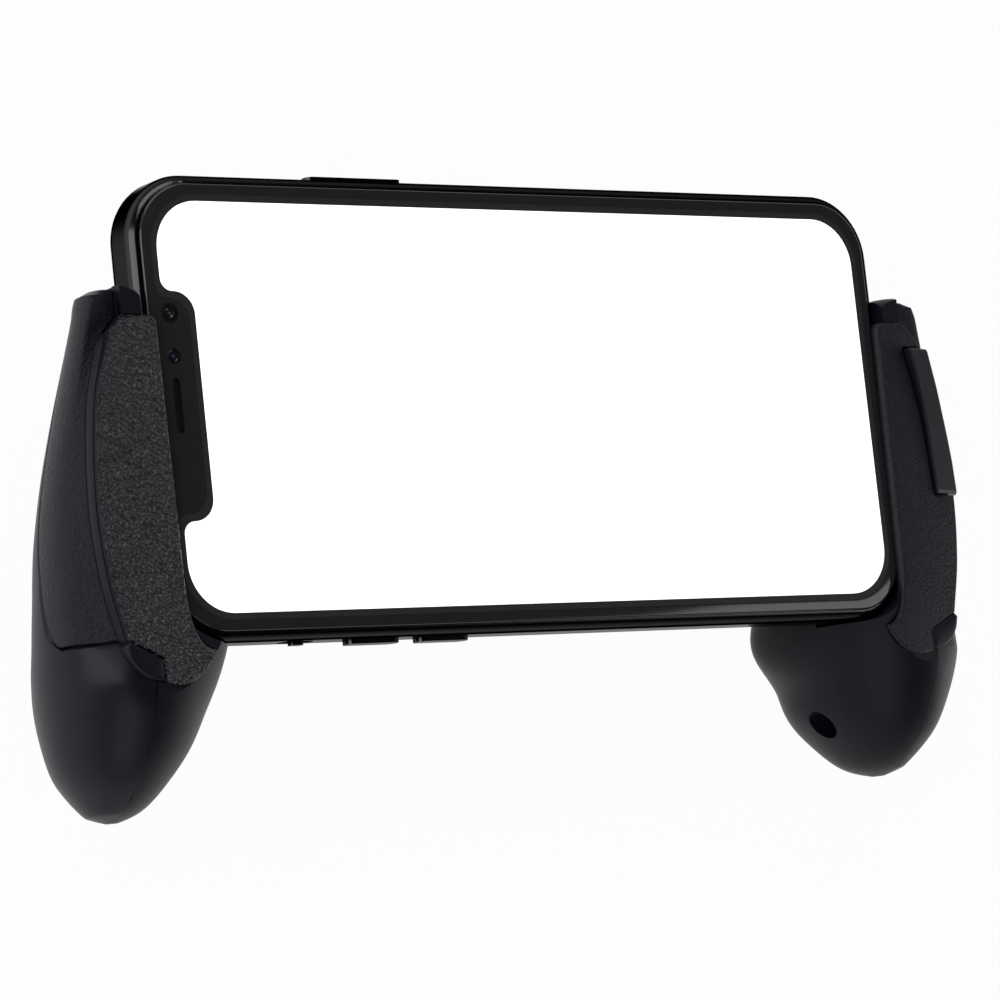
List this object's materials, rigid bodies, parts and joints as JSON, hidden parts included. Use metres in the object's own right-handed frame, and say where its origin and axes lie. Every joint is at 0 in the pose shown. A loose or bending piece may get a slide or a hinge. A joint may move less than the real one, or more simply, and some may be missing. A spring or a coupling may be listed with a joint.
{
  "type": "telescopic phone game grip",
  "caption": "Telescopic phone game grip: two horn-shaped handles on a sprung sliding bridge clamp the ends of a phone held sideways.",
  "frame": {"origin": "on the table under the middle of the outline, the grip lying on its back", "axes": "+X along the phone to its right end, +Y up the screen, +Z out of the screen"},
  "size_m": [0.1748, 0.0962, 0.0334],
  "materials": {
    "smooth_black_plastic": "satin",
    "inner_shell_plastic": "satin",
    "fine_grain_plastic": "fine grain",
    "leather_grain_plastic": "coarse leather grain",
    "bridge_plastic": "satin",
    "black_rubber": "matte",
    "zinc_steel": "zinc plated",
    "spring_steel": "bright",
    "black_steel": "polished black",
    "black_glass": "polished glass",
    "lit_display": "lit white",
    "lens_glass": "coated glass",
    "mesh_black": "matte",
    "flash_white": "clear",
    "plate_metal": "plain",
    "battery_black": "matte",
    "board_green": "plain"
  },
  "bodies": {
    "right_half": {"right_inner_shell": "inner_shell_plastic", "right_outer_shell": "smooth_black_plastic", "right_side_panel": "fine_grain_plastic", "right_jaw_plate": "fine_grain_plastic", "right_jaw_pad": "black_rubber", "right_shell_screw": "zinc_steel", "right_bridge_screws": "zinc_steel", "bridge_tray": "bridge_plastic", "bridge_cover": "bridge_plastic", "cover_screws": "zinc_steel", "stop_screw": "zinc_steel", "upper_spring": "spring_steel", "lower_spring": "spring_steel", "phone_rest_pads": "black_rubber"},
    "left_half": {"left_inner_shell": "inner_shell_plastic", "left_outer_shell": "smooth_black_plastic", "left_side_panel": "fine_grain_plastic", "left_jaw_plate": "leather_grain_plastic", "left_jaw_pad": "black_rubber", "left_shell_screw": "zinc_steel", "left_bridge_screws": "zinc_steel", "bridge_tongue": "bridge_plastic"},
    "phone": {"phone_frame": "black_steel", "front_glass": "black_glass", "display": "lit_display", "front_camera": "lens_glass", "front_sensor": "lens_glass", "earpiece_mesh": "mesh_black", "mid_plate": "plate_metal", "battery": "battery_black", "logic_board": "board_green", "charging_port": "plate_metal", "back_glass": "black_glass", "camera_surround": "black_steel", "rear_cameras": "lens_glass", "camera_flash": "flash_white", "sim_tray": "black_steel"},
    "power_key": {"power_key": "black_steel"},
    "volume_up_key": {"volume_up_key": "black_steel"},
    "volume_down_key": {"volume_down_key": "black_steel"},
    "mute_switch": {"mute_switch": "black_steel"}
  },
  "joints": [
    {"name": "bridge_slide", "type": "slide", "parent": "right_half", "child": "left_half", "axis": [-1, 0, 0], "range_m": [0, 0.014], "stiffness_N_per_m": 250, "springref_m": -0.02, "deforming": ["upper_spring", "lower_spring"]},
    {"name": "phone_slide", "type": "slide", "parent": "right_half", "child": "phone", "axis": [0, 1, 0], "range_m": [0, 0.06]},
    {"name": "power_key_press", "type": "slide", "parent": "phone", "child": "power_key", "axis": [0, -1, 0], "range_m": [0, 0.0004], "stiffness_N_per_m": 400, "springref_m": -0.0015},
    {"name": "volume_up_press", "type": "slide", "parent": "phone", "child": "volume_up_key", "axis": [0, 1, 0], "range_m": [0, 0.0004], "stiffness_N_per_m": 400, "springref_m": -0.0015},
    {"name": "volume_down_press", "type": "slide", "parent": "phone", "child": "volume_down_key", "axis": [0, 1, 0], "range_m": [0, 0.0004], "stiffness_N_per_m": 400, "springref_m": -0.0015},
    {"name": "mute_slide", "type": "slide", "parent": "phone", "child": "mute_switch", "axis": [0, 0, 1], "range_m": [-0.0005, 0.0005]}
  ]
}
